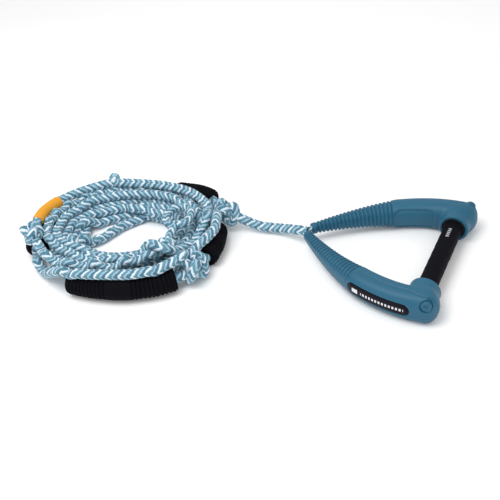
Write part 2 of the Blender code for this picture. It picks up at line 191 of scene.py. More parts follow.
def coil_point(u, v, z):
    """World place of a point in the coil's own plan frame."""
    x = COIL_CENTRE[0] + u * math.cos(COIL_TURN) - v * math.sin(COIL_TURN)
    y = COIL_CENTRE[1] + u * math.sin(COIL_TURN) + v * math.cos(COIL_TURN)
    return Vector((x, y, z))


# Camera, light and floor
FLOOR_HALF = 6.0


def add_object(name, data):
    made = bpy.data.objects.new(name, data)
    bpy.context.scene.collection.objects.link(made)
    return made


def make_camera():
    """The picture's view: from the front right, about 38 degrees down, with the horizon tilted."""
    azimuth = math.radians(30.65)
    elevation = math.radians(38.31)
    roll = math.radians(-8.0)
    distance = 1.3095
    target = Vector((-0.1996, -0.0516, 0.0055))
    level = math.cos(elevation)
    back = Vector((math.sin(azimuth) * level, -math.cos(azimuth) * level, math.sin(elevation)))
    right = Vector((math.cos(azimuth), math.sin(azimuth), 0))
    up = back.cross(right)
    tilted_right = right * math.cos(roll) + up * math.sin(roll)
    tilted_up = up * math.cos(roll) - right * math.sin(roll)
    data = bpy.data.cameras.new("camera")
    data.lens = 59.0
    data.sensor_width = 36.0
    data.clip_start = 0.01
    camera = add_object("camera", data)
    facing = Matrix((tilted_right, tilted_up, back)).transposed().to_4x4()
    camera.matrix_world = Matrix.Translation(target + back * distance) @ facing
    bpy.context.scene.camera = camera


def area_light(name, place, aim, size, power):
    data = bpy.data.lights.new(name, "AREA")
    data.shape = "SQUARE"
    data.size = size
    data.energy = power
    light = add_object(name, data)
    light.location = place
    light.rotation_euler = (Vector(aim) - Vector(place)).to_track_quat("-Z", "Y").to_euler()


def make_studio():
    """A white floor and world, with one large soft light above and a weaker one in front."""
    scene = bpy.context.scene
    scene.view_settings.view_transform = "Standard"
    scene.world = bpy.data.worlds.new("studio")
    scene.world.use_nodes = True
    glow = scene.world.node_tree.nodes["Background"]
    glow.inputs["Color"].default_value = (1, 1, 1, 1)
    glow.inputs["Strength"].default_value = 0.78
    area_light("key", (-0.5, -0.5, 1.5), (-0.2, 0, 0), 1.0, 14.0)
    area_light("fill", (0.9, -1.2, 0.9), (-0.1, 0, 0), 1.0, 2.0)
    mesh = bpy.data.meshes.new("floor")
    corners = [(x * FLOOR_HALF, y * FLOOR_HALF, 0) for x, y in ((-1, -1), (1, -1), (1, 1), (-1, 1))]
    mesh.from_pydata(corners, [], [(0, 1, 2, 3)])
    look = new_material("floor")
    n = Nodes(look)
    n.set("Base Color", (0.99, 0.99, 0.99, 1))
    n.set("Roughness", 0.9)
    mesh.materials.append(look)
    add_object("floor", mesh)


# Materials


def new_material(name):
    made = bpy.data.materials.new(name)
    made.use_nodes = True
    return made


class Nodes:
    """A small helper to write a material's node tree as formulas."""

    def __init__(self, look):
        self.tree = look.node_tree
        self.shader = self.tree.nodes["Principled BSDF"]

    def add(self, kind, **settings):
        node = self.tree.nodes.new(kind)
        for name, value in settings.items():
            setattr(node, name, value)
        return node

    def join(self, source, target):
        if isinstance(source, (int, float, tuple)):
            target.default_value = source
        else:
            self.tree.links.new(source, target)

    def set(self, name, value):
        self.join(value, self.shader.inputs[name])

    def math(self, operation, *values):
        node = self.add("ShaderNodeMath", operation=operation)
        for value, socket in zip(values, node.inputs):
            self.join(value, socket)
        return node.outputs[0]

    def ramp(self, value, stops, interpolation="LINEAR"):
        node = self.add("ShaderNodeValToRGB")
        node.color_ramp.interpolation = interpolation
        elements = node.color_ramp.elements
        while len(elements) < len(stops):
            elements.new(0.5)
        for element, (position, colour) in zip(elements, stops):
            element.position = position
            element.color = (*colour, 1)
        self.join(value, node.inputs[0])
        return node.outputs[0]

    def noise(self, scale, detail, vector):
        node = self.add("ShaderNodeTexNoise")
        node.inputs["Scale"].default_value = scale
        node.inputs["Detail"].default_value = detail
        self.join(vector, node.inputs["Vector"])
        return node.outputs["Fac"]

    def place(self):
        return self.add("ShaderNodeTexCoord").outputs["Object"]

    def mix(self, share, first, second, blend="MIX"):
        node = self.add("ShaderNodeMix", data_type="RGBA", blend_type=blend)
        self.join(share, node.inputs[0])
        self.join(first if not isinstance(first, tuple) else (*first, 1), node.inputs[6])
        self.join(second if not isinstance(second, tuple) else (*second, 1), node.inputs[7])
        return node.outputs[2]

    def stripes(self, value, pitch, share):
        """1 on each stripe, which takes this share of the pitch, and 0 between them."""
        return self.math("LESS_THAN", self.math("FRACT", self.math("DIVIDE", value, pitch)), share)

    def within(self, value, middle, half):
        """1 where the value is this near the middle, else 0."""
        return self.math("LESS_THAN", self.math("ABSOLUTE", self.math("SUBTRACT", value, middle)), half)

    def every(self, first, *others):
        """1 where all of these are 1, else 0."""
        for other in others:
            first = self.math("MULTIPLY", first, other)
        return first

    def bump(self, height, strength, distance):
        node = self.add("ShaderNodeBump")
        node.inputs["Strength"].default_value = strength
        node.inputs["Distance"].default_value = distance
        self.join(height, node.inputs["Height"])
        self.set("Normal", node.outputs[0])


def rope_material():
    """Chevron braid: V-shaped strands in white and teal, read from each corner's place on the rope, with
    painted shade in the furrows between strands.
    """
    look = new_material("chevron rope")
    n = Nodes(look)
    weave = n.add("ShaderNodeAttribute", attribute_name="weave")
    split = n.add("ShaderNodeSeparateXYZ")
    n.join(weave.outputs["Vector"], split.inputs[0])
    along = split.outputs[0]
    column = split.outputs[1]
    wobble = n.noise(260.0, 2.0, n.place())
    slide = n.math("MULTIPLY", n.math("PINGPONG", column, 1.0), STRAND_SLANT)
    phase = n.math("SUBTRACT", n.math("DIVIDE", along, STRAND_PITCH), slide)
    phase = n.math("ADD", phase, n.math("MULTIPLY", n.math("SUBTRACT", wobble, 0.5), 0.9))
    strand = n.math("FLOORED_MODULO", phase, 4.0)
    across = n.math("FRACT", phase)
    arm = n.math("FRACT", column)
    colour = n.ramp(
        n.math("DIVIDE", strand, 4.0),
        [
            (0.0, (0.78, 0.89, 1.0)),
            (0.27, (0.11, 0.32, 0.41)),
            (0.5, (0.38, 0.58, 0.72)),
            (0.73, (0.06, 0.22, 0.31)),
        ],
        "CONSTANT",
    )
    fibre = n.noise(1500.0, 2.0, n.place())
    colour = n.mix(0.35, colour, n.ramp(fibre, [(0.3, (0.35, 0.45, 0.5)), (0.7, (1, 1, 1))]), "MULTIPLY")
    # Painted shade: the colour is darkened towards each strand's edges and each column's ends, in the
    # furrows between strands
    edge = n.math("SINE", n.math("MULTIPLY", across, math.pi))
    ends = n.math("SINE", n.math("MULTIPLY", arm, math.pi))
    depth = n.math("MULTIPLY", n.math("POWER", edge, 0.5), n.math("POWER", ends, 0.22))
    shade = n.ramp(depth, [(0.16, (0.04, 0.09, 0.13)), (0.52, (1, 1, 1))])
    colour = n.mix(1.0, colour, shade, "MULTIPLY")
    n.set("Base Color", colour)
    n.set("Roughness", 0.7)
    n.set("Sheen Weight", 0.15)
    yarn = n.math("SINE", n.math("MULTIPLY", phase, 2 * math.pi * 4))
    n.bump(n.math("ADD", n.math("MULTIPLY", yarn, 0.5), fibre), 0.5, 0.0003)
    return look


# Rope geometry


def smooth_route(points, spacing):
    """Evenly spread points on the smooth (Catmull-Rom) curve through the given ones."""
    knots = np.array([tuple(point) for point in points], float)
    knots = np.vstack([2 * knots[0] - knots[1], knots, 2 * knots[-1] - knots[-2]])
    steps = 24
    t = (np.arange(steps) / steps)[None, :, None]
    a, b, c, d = (knots[i : len(knots) - 3 + i][:, None, :] for i in range(4))
    square = 2 * a - 5 * b + 4 * c - d
    cube = 3 * b - a - 3 * c + d
    curve = 0.5 * (2 * b + (c - a) * t + square * t**2 + cube * t**3)
    return respaced(np.vstack([curve.reshape(-1, 3), knots[-2]]), spacing)


def run_along(points):
    """Length of the line up to each of its points."""
    return np.concatenate([[0], np.cumsum(np.linalg.norm(np.diff(points, axis=0), axis=1))])


def respaced(route, spacing):
    """The same line with its points evenly spread, about this far apart."""
    along = run_along(route)
    count = max(2, round(along[-1] / spacing) + 1)
    wanted = np.linspace(0, along[-1], count)
    return np.column_stack([np.interp(wanted, along, route[:, i]) for i in range(3)])


def route_length(route):
    return float(np.linalg.norm(np.diff(route, axis=0), axis=1).sum())


def carried_frames(route):
    """Directions along a route, with side vectors carried along it without twist."""
    ways = np.gradient(route, axis=0)
    ways /= np.linalg.norm(ways, axis=1)[:, None]
    side = np.cross(ways[0], (0, 0, 1.0))
    sides = []
    for way in ways:
        side = side - way * side.dot(way)
        side = side / np.linalg.norm(side)
        sides.append(side)
    sides = np.array(sides)
    return ways, sides, np.cross(sides, ways)


def round_angles(sides):
    return 2 * np.pi * np.arange(sides) / sides


def circles(route, turn):
    """For each station of a route, unit vectors out from it at these angles."""
    _, across, upward = carried_frames(route)
    level = across[:, None, :] * np.cos(turn)[None, :, None]
    upright = upward[:, None, :] * np.sin(turn)[None, :, None]
    return level + upright


def braid_height(along, column):
    """Height of the braid's skin, 0 in its furrows and 1 on its strands."""
    arm = column % 1.0
    slide = 1 - np.abs(1 - column % 2.0)
    across = (along / STRAND_PITCH - slide * STRAND_SLANT) % 1.0
    return np.sin(np.pi * across) ** 0.6 * (0.45 + 0.55 * np.sin(np.pi * arm) ** 0.6)


def face_mesh(name, points, corners, starts):
    """A smooth mesh from its points, the corners of all faces in a row, and where each face starts."""
    mesh = bpy.data.meshes.new(name)
    mesh.vertices.add(len(points))
    mesh.vertices.foreach_set("co", points.ravel())
    mesh.loops.add(len(corners))
    mesh.loops.foreach_set("vertex_index", corners.astype(np.int32))
    mesh.polygons.add(len(starts))
    mesh.polygons.foreach_set("loop_start", starts.astype(np.int32))
    mesh.update(calc_edges=True)
    mesh.validate()
    mesh.shade_smooth()
    return mesh


def tube_mesh(name, rings, closed=False):
    """A mesh over rings, an array of ring, side and coordinate. An open one is capped at both ends."""
    count, sides, _ = rings.shape
    last = count if closed else count - 1
    i, k = np.meshgrid(np.arange(last), np.arange(sides), indexing="ij")
    j = (i + 1) % count
    m = (k + 1) % sides
    faces = np.stack([i * sides + k, i * sides + m, j * sides + m, j * sides + k], axis=-1).reshape(-1, 4)
    corners = faces.ravel()
    starts = np.arange(len(faces)) * 4
    points = rings.reshape(-1, 3)
    if not closed:
        first, final = len(points), len(points) + 1
        points = np.vstack([points, rings[0].mean(axis=0), rings[-1].mean(axis=0)])
        k = np.arange(sides)
        m = (k + 1) % sides
        top = (count - 1) * sides
        low = np.column_stack([np.full(sides, first), m, k])
        high = np.column_stack([np.full(sides, final), top + k, top + m])
        extra = np.vstack([low, high])
        starts = np.concatenate([starts, len(corners) + np.arange(len(extra)) * 3])
        corners = np.concatenate([corners, extra.ravel()])
    return face_mesh(name, points, corners, starts)


def add_piece(name, mesh, look, body):
    piece = add_object(name, mesh)
    if look:
        mesh.materials.append(look)
    if body:
        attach(piece, body)
    return piece


def braided_tube(name, route, radius, look, body, step=RING_STEP):
    """A braided rope along a route, with the place on the braid kept on each corner."""
    line = respaced(route, step)
    count = len(line)
    along = np.arange(count) * route_length(line) / (count - 1)
    turn = -round_angles(ROPE_SIDES)
    column = BRAID_COLUMNS * np.arange(ROPE_SIDES) / ROPE_SIDES
    reach = radius - BRAID_RELIEF * 0.85 + BRAID_RELIEF * braid_height(along[:, None], column[None, :])
    rings = line[:, None, :] + reach[..., None] * circles(line, turn)
    mesh = tube_mesh(name, rings)
    add_weave(mesh, along)
    return add_piece(name, mesh, look, body)


def add_weave(mesh, along):
    """Keeps the place on the braid on each corner: how far along, and which column."""
    step = BRAID_COLUMNS / ROPE_SIDES
    weave = np.zeros((len(mesh.loops), 3), np.float32)
    i, k = np.meshgrid(np.arange(len(along) - 1), np.arange(ROPE_SIDES), indexing="ij")
    columns = np.stack([k, k + 1, k + 1, k], axis=-1) * step
    lengths = np.stack([along[i], along[i], along[i + 1], along[i + 1]], axis=-1)
    body = columns.size
    weave[:body, 0] = lengths.ravel()
    weave[:body, 1] = columns.ravel()
    layer = mesh.attributes.new("weave", "FLOAT_VECTOR", "CORNER")
    layer.data.foreach_set("vector", weave.ravel())


# Coil


def turn_values(share):
    """The oval of a turn, read smoothly between the rows of TURNS."""
    rows = np.array(TURNS)
    low = min(int(share), len(rows) - 2)
    part = share - low
    part = part * part * (3 - 2 * part)
    return rows[low] * (1 - part) + rows[low + 1] * part


def coil_guides(first, last, pins):
    """Route points of the coil between two places: the pins, and the ovals where no pin is near."""
    entries = [(share, point, True) for share, point in pins]
    taken = np.array([share for share, _ in pins])
    for i in range(math.ceil(first * GUIDES_PER_TURN), math.floor(last * GUIDES_PER_TURN) + 1):
        share = i / GUIDES_PER_TURN
        if np.abs(taken - share).min() < 0.6 / GUIDES_PER_TURN:
            continue
        half_u, half_v, shift_u, shift_v, height = turn_values(share)
        angle = 2 * math.pi * share
        u = shift_u + half_u * math.cos(angle)
        v = shift_v + half_v * math.sin(angle)
        entries.append((share, (u, v, height), False))
    entries.sort(key=lambda entry: entry[0])
    return entries


def top_stretch(entries, route):
    """Which points of the route are on the top turn, which keeps its height."""
    line = np.array([point for share, point, _ in entries if TOP_SHARES[0] < share < TOP_SHARES[1]])
    line = smooth_route(line, 0.004)
    return np.linalg.norm(route[:, None, :] - line[None, :, :], axis=2).min(axis=1) < 0.0045


def pin(turn, point):
    """A pinned point, with its place counted in turns."""
    u, v, _ = point
    angle = math.atan2((v - 0.006) / 0.75, u) / (2 * math.pi)
    return turn + angle % 1.0, point


# Points where a turn leaves its oval. Turn 0 passes over the front float and up the right-hand side
OVER_FLOAT = (
    (-0.133, -0.071, 0.018), (-0.094, -0.106, 0.03), (-0.051, -0.126, 0.042),
    (0.0, -0.131, 0.046), (0.045, -0.13, 0.046), (0.082, -0.118, 0.044),
    (0.116, -0.09, 0.05), (0.14, -0.05, 0.046), (0.154, -0.012, 0.045),
)
# Turn 1 passes under the others at the left, on its way to the front float
UNDER_TURNS = (
    (-0.122, -0.026, 0.008), (-0.106, -0.056, 0.008), (-0.086, -0.08, 0.009),
    (-0.072, -0.099, 0.014),
)
# Turn 4 cuts across the coil's hole
ACROSS_HOLE = (
    (0.012, 0.066, 0.012), (-0.024, 0.036, 0.01), (-0.038, 0.017, 0.01),
    (-0.051, 0.0, 0.012),
)
# Turn 9 runs under the top turn at the back, and over the left float
UNDER_TOP = (
    (0.09, 0.082, 0.034), (0.05, 0.102, 0.034), (0.0, 0.108, 0.035),
    (-0.05, 0.105, 0.035), (-0.074, 0.098, 0.035), (-0.098, 0.087, 0.036),
    (-0.12, 0.06, 0.039), (-0.13, 0.032, 0.043), (-0.133, 0.006, 0.044),
    (-0.129, -0.018, 0.043), (-0.116, -0.04, 0.042),
)
# The top turn round the back, and from the left knot along the front
TOP_TURN = (
    (0.137, 0.012, 0.05), (0.132, 0.04, 0.049), (0.108, 0.07, 0.048),
    (0.08, 0.09, 0.047), (0.04, 0.105, 0.046), (0.0, 0.111, 0.046),
    (-0.08, 0.102, 0.046), (-0.108, 0.086, 0.045), (-0.128, -0.06, 0.047),
    (-0.104, -0.086, 0.046), (-0.062, -0.104, 0.046), (-0.017, -0.107, 0.047),
    (0.029, -0.101, 0.048), (0.06, -0.086, 0.047),
)
PASSES = ((0, OVER_FLOAT), (1, UNDER_TURNS), (4, ACROSS_HOLE), (9, UNDER_TOP), (10, TOP_TURN))
# The part of the top turn that keeps its height, counted in turns
TOP_SHARES = (10.02, 10.52)
# The rear knot lies behind its turn, which passes here
REAR_BUMP = (-0.049, 0.112, 0.047)


def lay_coil():
    """The route of the whole coil, from the right-hand knot to the end loop, with what each point is."""
    places = {name: place for name, (_, _, _, place) in KNOTS.items()}
    pins = [(place, REAR_BUMP if name == "knot_rear" else KNOTS[name][0]) for name, place in places.items()]
    on_floor = {name: [(u, v, FLOAT_RADIUS) for u, v in points] for name, points in FLOATS.items()}
    pins += [pin(0, point) for point in on_floor["float_rear"]]
    pins += [pin(0, point) for point in reversed(on_floor["float_left"])]
    pins += [pin(1, point) for point in on_floor["float_front"]]
    right = [pin(1, point) for point in on_floor["float_right"]]
    pins += [(share if share > 1.5 else share + 1, point) for share, point in right]
    for turn, points in PASSES:
        pins += [pin(turn, point) for point in points]
    pins += [pin(10, point) for point in reversed(SLEEVE_POINTS)]
    return coil_guides(places["knot_right"], places["knot_inner"], pins)


def settle(places, radii, held, spacing):
    """Lets the rope down onto the floor and its own turns, in the coil's plan frame."""
    free = (~held)[:, None].astype(float)
    plan = places[:, :2].copy()
    index = np.arange(len(places))
    for step in range(SETTLE_STEPS):
        if step % 6 == 0:
            gaps = np.linalg.norm(places[:, None, :] - places[None, :, :], axis=2)
            near = gaps < radii[:, None] + radii[None, :] + 0.01
            near &= index[None, :] - index[:, None] > NEIGHBOURS
            first, second = np.nonzero(near)
            reach = radii[first] + radii[second]
        places[:, 2:] -= free * SETTLE_DROP
        places[:, :2] += free * PLAN_PULL * (plan - places[:, :2])
        bend = np.zeros_like(places)
        bend[1:-1] = (places[:-2] + places[2:]) / 2 - places[1:-1]
        places += free * BEND_PULL * bend
        step_vector = np.diff(places, axis=0)
        length = np.linalg.norm(step_vector, axis=1)[:, None]
        pull = LENGTH_PULL * (length - spacing) / length * step_vector
        places[:-1] += free[:-1] * pull
        places[1:] -= free[1:] * pull
        for _ in range(2):
            apart = places[second] - places[first]
            gap = np.linalg.norm(apart, axis=1)
            hit = gap < reach
            push = 0.5 * ((reach - gap) / np.maximum(gap, 1e-6) * hit)[:, None] * apart
            share_first = free[first] * (1 + (free[second] == 0))
            share_second = free[second] * (1 + (free[first] == 0))
            move = np.zeros_like(places)
            np.add.at(move, first, -0.5 * push * share_first)
            np.add.at(move, second, 0.5 * push * share_second)
            places += move
        places[:, 2] = np.where(held, places[:, 2], np.maximum(places[:, 2], radii))
    return places


def coil_route():
    """Places along the whole coil once it has settled, in the world and in the coil's plan frame."""
    entries = lay_coil()
    route = smooth_route([point for _, point, _ in entries], SPACING)
    pinned = np.array([point for _, point, held in entries if held])
    gaps = np.linalg.norm(route[:, None, :] - pinned[None, :, :], axis=2)
    radii = np.full(len(route), ROPE_RADIUS)
    held = gaps.min(axis=1) < SPACING * 0.75
    held |= top_stretch(entries, route)
    for points in FLOATS.values():
        line = smooth_route([(u, v, FLOAT_RADIUS) for u, v in points], 0.004)
        inside = np.linalg.norm(route[:, None, :] - line[None, :, :], axis=2).min(axis=1) < 0.0045
        radii[inside] = FLOAT_RADIUS
        held |= inside
    for centre, *_ in KNOTS.values():
        inside = np.linalg.norm(route - np.array(centre), axis=1) < SPACING
        radii[inside] = 0.013
        held |= inside
    route = settle(route.copy(), radii, held, SPACING)
    world = np.array([tuple(coil_point(*place)) for place in route])
    return world, route


def rope_run(name, route, look):
    """One run of the rope, with as fine a skin as its share of triangles allows."""
    length = route_length(route)
    step = max(RING_STEP, length * 2 * ROPE_SIDES / MOST_TRIANGLES)
    return braided_tube(name, route, ROPE_RADIUS, look, "rope", step)


def knot_route(centre, half_sizes, radius, lean):
    """A three-lobed knot of rope, drawn together into the knot's room."""
    t = np.linspace(0, 2 * np.pi, KNOT_POINTS)
    spread = 1.0 if half_sizes[0] < SMALL_KNOT else BIG_KNOT_SPREAD
    reach = spread * (np.array(half_sizes) - radius)
    x = (np.sin(t) + 2 * np.sin(2 * t)) / 2.75 * reach[0]
    y = (np.cos(t) - 2 * np.cos(2 * t)) / 2.75 * reach[1]
    z = -np.sin(3 * t) * reach[2]
    u = centre[0] + x * math.cos(lean) - y * math.sin(lean)
    v = centre[1] + x * math.sin(lean) + y * math.cos(lean)
    return np.array([tuple(coil_point(*place)) for place in zip(u, v, centre[2] + z)])


def make_knots(look):
    knots = {}
    for name, (centre, half_sizes, lean, _) in KNOTS.items():
        route = knot_route(centre, half_sizes, KNOT_ROPE_RADIUS, lean)
        knot = braided_tube(f"{name}_rope", route, KNOT_ROPE_RADIUS, look, "rope", KNOT_RING_STEP)
        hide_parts(name)
        knots[name] = knot
    return knots


def coil_line(points, spacing):
    """World route through points of the coil's frame."""
    return smooth_route([coil_point(*point) for point in points], spacing)


def hollow_sweep(name, route, radii, bore, sides, look, relief=0.0):
    """A sleeve along a route, with its own radius at each station and a bore right through."""
    circle = circles(route, round_angles(sides))
    reach = np.repeat(radii[:, None], sides, axis=1) + relief
    outer = route[:, None, :] + reach[..., None] * circle
    inner = route[:, None, :] + bore * circle
    rings = np.concatenate([outer, inner[::-1]])
    mesh = tube_mesh(name, rings, closed=True)
    mesh.flip_normals()
    return add_piece(name, mesh, look, "rope")


def make_float(name, points, look):
    """A foam float: rings of ribs at both ends, a plain waist, and rounded ends."""
    route = smooth_route([coil_point(u, v, FLOAT_RADIUS) for u, v in points], 0.0007)
    long = route_length(route)
    along = np.linspace(0, long, len(route))
    from_end = np.minimum(along, long - along)
    ribbed = from_end < FLOAT_RIBBED_SHARE * long
    groove = np.exp(-(((from_end / FLOAT_RIB_PITCH) % 1.0 - 0.5) / 0.17) ** 2)
    radii = FLOAT_RADIUS - 0.0002 - FLOAT_RIB_DEPTH * groove * ribbed
    edge = np.clip(1 - from_end / FLOAT_EDGE, 0, 1)
    radii = radii - FLOAT_EDGE * (1 - np.sqrt(1 - edge**2)) * 0.9
    made = hollow_sweep(f"{name}_foam", route, radii, FLOAT_BORE, 56, look)
    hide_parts(name)
    return made


def make_sleeve(look):
    """The woven sleeve, a little puckered, with its ends turned in."""
    route = coil_line(SLEEVE_POINTS, 0.0006)
    long = route_length(route)
    along = np.linspace(0, long, len(route))
    from_end = np.minimum(along, long - along)
    sides = 72
    column = 24 * np.arange(sides) / sides
    row = along[:, None] / 0.0013
    weave = np.sin(np.pi * (row + column)) * np.sin(np.pi * (row - column))
    edge = np.clip(1 - from_end / 0.0016, 0, 1)
    radii = SLEEVE_RADIUS - 0.0003 - 0.0009 * edge**2 + 0.0002 * np.sin(along / 0.007)
    made = hollow_sweep("loop_sleeve_cloth", route, radii, 0.0083, sides, look, 0.00022 * weave)
    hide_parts("loop_sleeve")
    return made


def make_loop(look):
    """The boat-end loop: the rope runs round and back onto itself."""
    points = [KNOTS["knot_inner"][0], (0.085, -0.035, 0.046)]
    for i in range(14):
        turn = -0.5 * math.pi + 2 * math.pi * i / 13
        u = LOOP_CENTRE[0] + LOOP_RADIUS * math.cos(turn)
        v = LOOP_CENTRE[1] + LOOP_STRETCH * LOOP_RADIUS * math.sin(turn)
        points.append((u, v, LOOP_CENTRE[2]))
    route = coil_line(points, 0.001)
    made = braided_tube("boat_loop_rope", route, LOOP_ROPE_RADIUS, look, "rope")
    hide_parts("boat_loop")
    return made


def make_rope(looks):
    """The whole rope: lead, coil runs, knots, floats, sleeve and loop."""
    look = looks["rope"]
    world, plan = coil_route()
    knots = make_knots(look)
    floats = {name: make_float(name, points, looks["foam"]) for name, points in FLOATS.items()}
    sleeve = make_sleeve(looks["sleeve"])
    loop = make_loop(look)

    lead_points = [KNOTS["knot_right"][0], *LEAD_POINTS]
    straight = [[EYE_X - 0.012, 0, MID_HEIGHT], [EYE_X, 0, MID_HEIGHT]]
    lead = np.vstack([coil_line(lead_points, 0.001), straight])
    lead = smooth_route([*lead[::12].tolist(), [EYE_X - EYE_RADIUS, 0, MID_HEIGHT]], 0.001)
    piece = rope_run("lead_rope", lead, look)
    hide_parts("rope_lead")

    def nearest(point):
        return int(np.argmin(np.linalg.norm(plan - np.array(point), axis=1)))

    first_front = nearest(KNOTS["knot_front"][0])
    float_end = nearest((0.148, 0.014, FLOAT_RADIUS))
    rear = nearest(KNOTS["knot_rear"][0])
    outer_floats = [floats["float_rear"], floats["float_left"], floats["float_front"]]
    runs = (
        ("outer_run", 0, first_front, "knot", outer_floats),
        ("front_run", first_front, float_end, "object", [knots["knot_front"], floats["float_right"]]),
        ("inner_turns", float_end, rear, "knot", [knots["knot_rear"]]),
        ("top_run", rear, len(world) - 1, "knot", [sleeve, knots["knot_left"], knots["knot_inner"], loop]),
    )
    for name, low, high, far_end, with_pieces in runs:
        route = smooth_route(world[low : high + 1], 0.001)
        route[:, 2] = np.maximum(route[:, 2], ROPE_RADIUS + 0.0003)
        piece = rope_run(name, route, look)
        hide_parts("rope_coil")


# Handle


def smooth_step(value, low, high):
    part = np.clip((value - low) / (high - low), 0, 1)
    return part * part * (3 - 2 * part)


def joined(first, second, blend):
    """The two shapes joined, with a fillet of about this size."""
    near = np.maximum(blend - np.abs(first - second), 0) / blend
    return np.minimum(first, second) - near * near * blend / 4


def cut(shape, tool, blend=0.0008):
    """The shape with the tool cut from it, its edge a little rounded."""
    return -joined(-shape, tool, blend)


def bezier(share):
    """Point of an arm's centreline, seen from above, on the right-hand side."""
    tip, bend, hub = (np.array(p) for p in (ARM_TIP, ARM_BEND, ARM_HUB))
    share = np.asarray(share)[..., None]
    return tip * (1 - share) ** 2 + bend * 2 * share * (1 - share) + hub * share**2


def arm_half_sizes(share):
    """Half width and half height of an arm at this share of its centreline."""
    stops = (0, 0.5, 1)
    return np.interp(share, stops, ARM_HALF_WIDTHS), np.interp(share, stops, ARM_HALF_HEIGHTS)


def arm_plan(x, y):
    """For each place seen from above: share along the arm, distance outward, length run, and the way
    along its first piece and past its last."""
    shares = np.linspace(0, 1, 161)
    line = bezier(shares)
    run = run_along(line)
    best = np.full(x.shape, np.inf)
    share = np.zeros(x.shape)
    outward = np.zeros(x.shape)
    length = np.zeros(x.shape)
    for i in range(len(shares) - 1):
        way = line[i + 1] - line[i]
        long = np.linalg.norm(way)
        way = way / long
        along = (x - line[i][0]) * way[0] + (y - line[i][1]) * way[1]
        across = (y - line[i][1]) * way[0] - (x - line[i][0]) * way[1]
        inside = np.clip(along, 0, long)
        if i == 0:
            before = along
        far = np.hypot(across, along - inside)
        nearer = far < best
        best = np.where(nearer, far, best)
        part = inside / long
        share = np.where(nearer, shares[i] + part * (shares[i + 1] - shares[i]), share)
        outward = np.where(nearer, across, outward)
        length = np.where(nearer, run[i] + inside, length)
    past = np.maximum(along - long, 0)
    return share, outward, length, before, past


def arm_field(x, y, z):
    """The right-hand arm as a field, below zero inside it."""
    flat_x, flat_y = np.meshgrid(x, y, indexing="ij")
    share, outward, length, before, past = (value[:, :, None] for value in arm_plan(flat_x, flat_y))
    half_width, half_height = arm_half_sizes(share)
    ahead, deep, up = x[:, None, None], y[None, :, None], z[None, None, :]
    rise = up - MID_HEIGHT
    wide = np.abs(outward) / half_width
    high = np.abs(rise) / half_height
    section = (wide**ARM_SQUARENESS + high**ARM_SQUARENESS) ** (1 / ARM_SQUARENESS)
    body = np.sqrt(section**2 + (past / HUB_END_LENGTH) ** 2) - 1
    shape = body * np.minimum(half_width, half_height)

    # Ribs round the slim half, parting line along the top, and the finger panel on the inner face
    rib = np.exp(-(((length / RIB_PITCH) % 1.0 - 0.5) / 0.2) ** 2)
    ribbed = smooth_step(share, 0.015, 0.03) * (1 - smooth_step(share, RIBS_END - 0.01, RIBS_END))
    plain_top = 1 - 0.75 * smooth_step(rise / half_height, 0.75, 1.0) * (1 - smooth_step(share, 0.08, 0.2))
    plain_rail = 1 - 0.8 * smooth_step(outward / half_width, 0.7, 0.92)
    shape = shape + RIB_DEPTH * rib * ribbed * plain_top * plain_rail
    line_shift = outward - half_width * 0.38 * smooth_step(share, 0.84, 1.0)
    parting = np.exp(-((line_shift / 0.0012) ** 2)) * (rise > 0)
    shape = shape + 0.0013 * parting * smooth_step(share, RIBS_END, RIBS_END + 0.02)
    low_line = np.exp(-(((rise + 0.007) / 0.0009) ** 2)) * (outward > 0)
    shape = shape + 0.0007 * low_line * smooth_step(share, 0.86, 0.88)
    panel_mid = (PANEL_RUN[0] + PANEL_RUN[1]) / 2
    panel_half = (PANEL_RUN[1] - PANEL_RUN[0]) / 2
    panel_x = np.maximum(np.abs(length - panel_mid) - panel_half + PANEL_CORNER, 0)
    panel_z = np.maximum(np.abs(rise) - PANEL_HALF_HEIGHT + PANEL_CORNER, 0)
    panel = np.hypot(panel_x, panel_z) - PANEL_CORNER
    inner = smooth_step(-outward / half_width, 0.1, 0.5)
    shape = shape + PANEL_DEPTH * (1 - smooth_step(panel, -0.0016, 0.001)) * inner

    # Hub boss and its socket and bush pocket
    around = np.hypot(ahead - BAR_X, rise)
    boss_half = (BOSS_ROOT_Y - BOSS_FACE_Y) / 2
    from_wall = around - BOSS_RADIUS + BOSS_EDGE
    from_face = np.abs(deep - BOSS_FACE_Y - boss_half) - boss_half + BOSS_EDGE
    boss = np.hypot(np.maximum(from_wall, 0), np.maximum(from_face, 0)) - BOSS_EDGE
    boss = boss + np.minimum(np.maximum(from_wall, from_face), 0)
    shape = joined(shape, boss, 0.005)
    shape = cut(shape, MID_HEIGHT + ARM_HALF_HEIGHTS[2] - up + 0 * shape, 0.001)
    socket_floor = BOSS_FACE_Y + SOCKET_DEPTH
    shape = cut(shape, np.maximum(around - SOCKET_RADIUS, deep - socket_floor))
    shape = cut(shape, np.maximum(around - BUSH_POCKET_RADIUS, deep - socket_floor - BUSH_POCKET_DEPTH))

    # Badge pocket, plug hole, rope channel with its open end, and the flat underside
    badge = badge_outline(length, rise)
    outer_face = outward - 0.3 * half_width
    pocket = np.maximum(badge - 0.0004, -(shape + BADGE_DEPTH + 0.0004))
    pocket = np.maximum(pocket, -outer_face)
    shape = cut(shape, pocket, 0.0005)
    plug = np.hypot(ahead - HUB_PLUG_X, up - HUB_PLUG_Z) - HUB_PLUG_RADIUS - 0.0004
    shape = cut(shape, np.maximum(plug, HUB_PLUG_Y[0] - 0.0004 - deep), 0.0005)
    channel = np.maximum(np.hypot(outward, rise) - CHANNEL_RADIUS, share - 0.8)
    shape = cut(shape, channel)
    shape = cut(shape, before)
    return cut(shape, up + 0 * shape, 0.0015)


